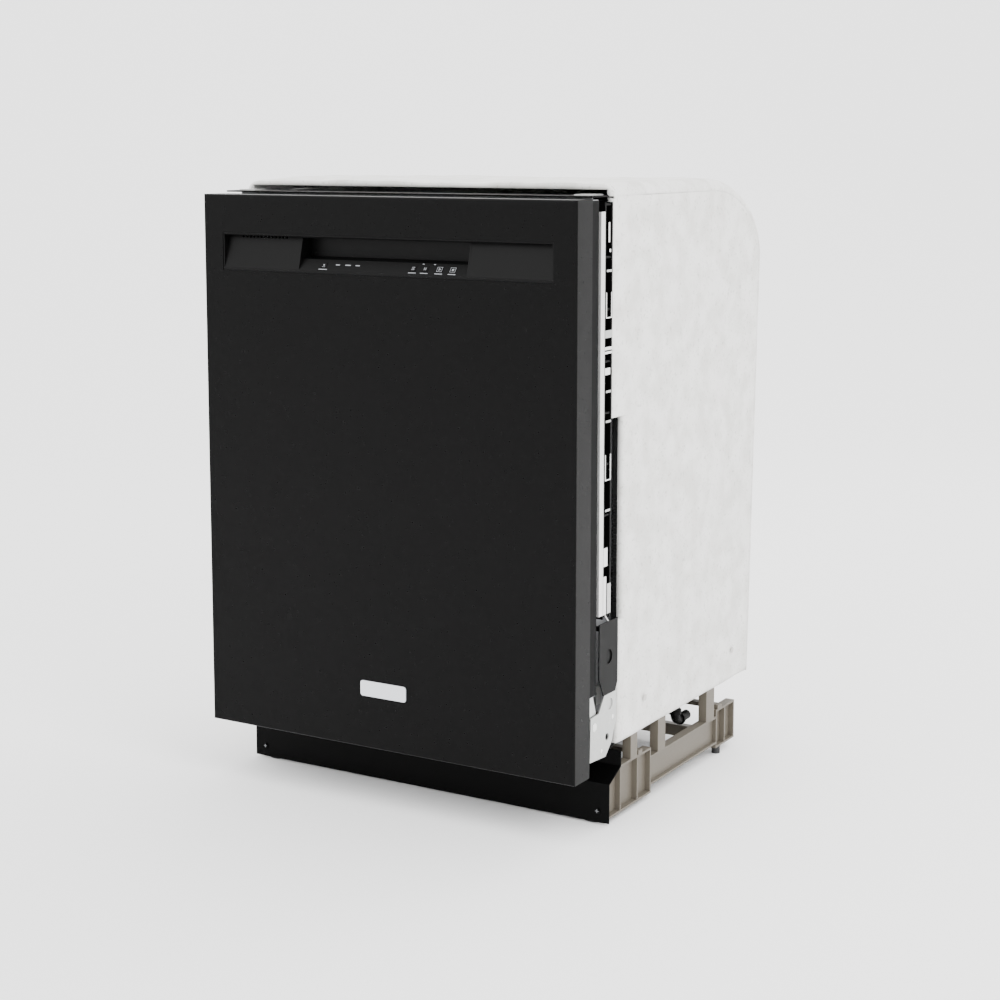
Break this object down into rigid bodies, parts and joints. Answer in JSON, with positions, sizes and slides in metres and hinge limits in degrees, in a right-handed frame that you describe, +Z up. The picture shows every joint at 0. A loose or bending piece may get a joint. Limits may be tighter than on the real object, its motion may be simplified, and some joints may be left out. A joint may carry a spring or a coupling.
{
  "type": "built-in dishwasher",
  "caption": "Built-in dishwasher with a drop-down front door, recessed pocket-handle console, toe panel, felt-wrapped tub, pull-out racks and spray arms",
  "frame": {"origin": "on the floor, at the centre of the overall width and depth", "axes": "+Z up, +X to the right seen from the front, -Y to the front where the door faces"},
  "size_m": [0.606, 0.606, 0.879],
  "materials": {
    "grey_plastic": "satin",
    "black_rubber": "matte",
    "bright_steel": "bright",
    "black_plastic": "satin",
    "black_metal": "satin",
    "zinc_steel": "zinc plated",
    "felt": "felt",
    "clip_plastic": "satin",
    "beige_plastic": "satin",
    "dark_plastic": "satin",
    "black_screw": "satin",
    "spring_steel": "satin",
    "hose_rubber": "satin",
    "stainless": "satin",
    "filter_plastic": "satin",
    "arm_plastic": "satin",
    "coated_wire": "nylon coated",
    "gloss_black": "gloss",
    "console_plastic": "satin",
    "badge_metal": "satin"
  },
  "bodies": {
    "chassis": {"tub": "grey_plastic", "tub_gasket": "black_rubber", "face_strips": "bright_steel", "side_frames": "black_plastic", "top_trim_strip": "black_metal", "counter_brackets": "zinc_steel", "latch_strike": "zinc_steel", "insulation_blanket": "felt", "blanket_clips": "clip_plastic", "base_frame": "beige_plastic", "base_supports": "beige_plastic", "rear_feet": "dark_plastic", "toe_panel": "black_metal", "toe_screws": "black_screw", "hinge_plates": "zinc_steel", "hinge_covers": "black_plastic", "door_springs": "spring_steel", "drain_hose": "hose_rubber", "drain_elbow": "black_plastic", "sump": "dark_plastic", "filter_plate": "stainless", "heating_element": "stainless", "feed_tube": "arm_plastic", "wash_pump": "dark_plastic", "drain_pump": "dark_plastic", "inlet_valve": "filter_plastic", "junction_box": "zinc_steel", "upper_rails": "stainless"},
    "lid": {"dispenser_lid": "arm_plastic"},
    "cap": {"rinse_cap": "dark_plastic"},
    "pawl": {"latch_pawl": "zinc_steel"},
    "slides": {"upper_slides": "stainless"},
    "upper": {"upper_rack": "coated_wire", "upper_feed_pipe": "arm_plastic"},
    "upper_arm": {"upper_spray_arm": "arm_plastic"},
    "lower": {"lower_rack": "coated_wire", "wheel_brackets": "arm_plastic"},
    "front_rollers": {"front_wheels": "arm_plastic"},
    "rear_rollers": {"rear_wheels": "arm_plastic"},
    "basket": {"silverware_basket": "arm_plastic"},
    "lower_arm": {"lower_spray_arm": "arm_plastic"},
    "filter": {"filter_cup": "filter_plastic"},
    "impeller": {"pump_impeller": "filter_plastic"},
    "float": {"overfill_float": "arm_plastic"},
    "right_leg": {"right_front_leg": "dark_plastic"},
    "left_leg": {"left_front_leg": "dark_plastic"},
    "cycle_key": {"cycle_button": "console_plastic"},
    "option_left_key": {"option_left_button": "console_plastic"},
    "option_right_key": {"option_right_button": "console_plastic"},
    "start_key": {"start_button": "console_plastic"},
    "cancel_key": {"cancel_button": "console_plastic"},
    "door": {"door_outer_panel": "gloss_black", "door_liner": "grey_plastic", "hinge_arms": "zinc_steel", "console": "console_plastic", "control_housing": "dark_plastic", "badge": "badge_metal", "dispenser": "arm_plastic", "door_vent": "arm_plastic", "latch_body": "dark_plastic"}
  },
  "joints": [
    {"name": "door_hinge", "type": "hinge", "parent": "chassis", "child": "door", "pos_m": [0, -0.2418, 0.15], "axis": [1, 0, 0], "range_deg": [0, 90]},
    {"name": "cycle_press", "type": "slide", "parent": "door", "child": "cycle_key", "axis": [0, 0.8013, -0.5983], "range_m": [0, 0.0008], "stiffness_N_per_m": 600, "springref_m": -0.0002},
    {"name": "option_left_press", "type": "slide", "parent": "door", "child": "option_left_key", "axis": [0, 0.8013, -0.5983], "range_m": [0, 0.0008], "stiffness_N_per_m": 600, "springref_m": -0.0002},
    {"name": "option_right_press", "type": "slide", "parent": "door", "child": "option_right_key", "axis": [0, 0.8013, -0.5983], "range_m": [0, 0.0008], "stiffness_N_per_m": 600, "springref_m": -0.0002},
    {"name": "start_press", "type": "slide", "parent": "door", "child": "start_key", "axis": [0, 0.8013, -0.5983], "range_m": [0, 0.0008], "stiffness_N_per_m": 600, "springref_m": -0.0002},
    {"name": "cancel_press", "type": "slide", "parent": "door", "child": "cancel_key", "axis": [0, 0.8013, -0.5983], "range_m": [0, 0.0008], "stiffness_N_per_m": 600, "springref_m": -0.0002},
    {"name": "dispenser_flip", "type": "hinge", "parent": "door", "child": "lid", "pos_m": [0, -0.2346, 0.43774], "axis": [-1, 0, 0], "range_deg": [0, 100]},
    {"name": "rinse_cap_turn", "type": "hinge", "parent": "door", "child": "cap", "pos_m": [-0.044, -0.2358, 0.46974], "axis": [0, 1, 0], "range_deg": [-90, 0]},
    {"name": "latch_swing", "type": "hinge", "parent": "door", "child": "pawl", "pos_m": [0, -0.2518, 0.8455], "axis": [-1, 0, 0], "range_deg": [0, 12], "stiffness_Nm_per_rad": 0.05, "springref_deg": -5.73},
    {"name": "upper_slide_run", "type": "slide", "parent": "chassis", "child": "slides", "axis": [0, -1, 0], "range_m": [0, 0.24]},
    {"name": "upper_rack_run", "type": "slide", "parent": "chassis", "child": "upper", "axis": [0, -1, 0], "range_m": [0, 0.46]},
    {"name": "upper_arm_spin", "type": "hinge", "parent": "upper", "child": "upper_arm", "pos_m": [0, 0.0146, 0.49753], "axis": [0, 0, 1], "continuous": true},
    {"name": "lower_rack_run", "type": "slide", "parent": "chassis", "child": "lower", "axis": [0, -1, 0], "range_m": [0, 0.085]},
    {"name": "front_wheels_roll", "type": "hinge", "parent": "lower", "child": "front_rollers", "pos_m": [0, -0.1238, 0.1768], "axis": [1, 0, 0], "continuous": true},
    {"name": "rear_wheels_roll", "type": "hinge", "parent": "lower", "child": "rear_rollers", "pos_m": [0, 0.189, 0.1768], "axis": [1, 0, 0], "continuous": true},
    {"name": "basket_lift", "type": "slide", "parent": "lower", "child": "basket", "axis": [0, 0, 1], "range_m": [0, 0.1]},
    {"name": "lower_arm_spin", "type": "hinge", "parent": "chassis", "child": "lower_arm", "pos_m": [0, 0.02782, 0.172], "axis": [0, 0, 1], "continuous": true},
    {"name": "filter_turn", "type": "hinge", "parent": "chassis", "child": "filter", "pos_m": [0.05, 0.02782, 0.1], "axis": [0, 0, 1], "range_deg": [0, 90]},
    {"name": "impeller_spin", "type": "hinge", "parent": "chassis", "child": "impeller", "pos_m": [-0.15, 0.02782, 0.072], "axis": [0, 1, 0], "continuous": true},
    {"name": "float_rise", "type": "slide", "parent": "chassis", "child": "float", "axis": [0, 0, 1], "range_m": [0, 0.01]},
    {"name": "right_leg_screw", "type": "slide", "parent": "chassis", "child": "right_leg", "axis": [0, 0, 1], "range_m": [-0.016, 0]},
    {"name": "left_leg_screw", "type": "slide", "parent": "chassis", "child": "left_leg", "axis": [0, 0, 1], "range_m": [-0.016, 0]}
  ],
  "couplings": [
    {"joint": "upper_rack_run", "follows": "door_hinge", "m_per_rad": 0.28},
    {"joint": "upper_slide_run", "follows": "door_hinge", "m_per_rad": 0.14},
    {"joint": "lower_rack_run", "follows": "door_hinge", "m_per_rad": 0.05},
    {"joint": "front_wheels_roll", "follows": "door_hinge", "ratio": 2.9412},
    {"joint": "rear_wheels_roll", "follows": "door_hinge", "ratio": 2.9412}
  ]
}
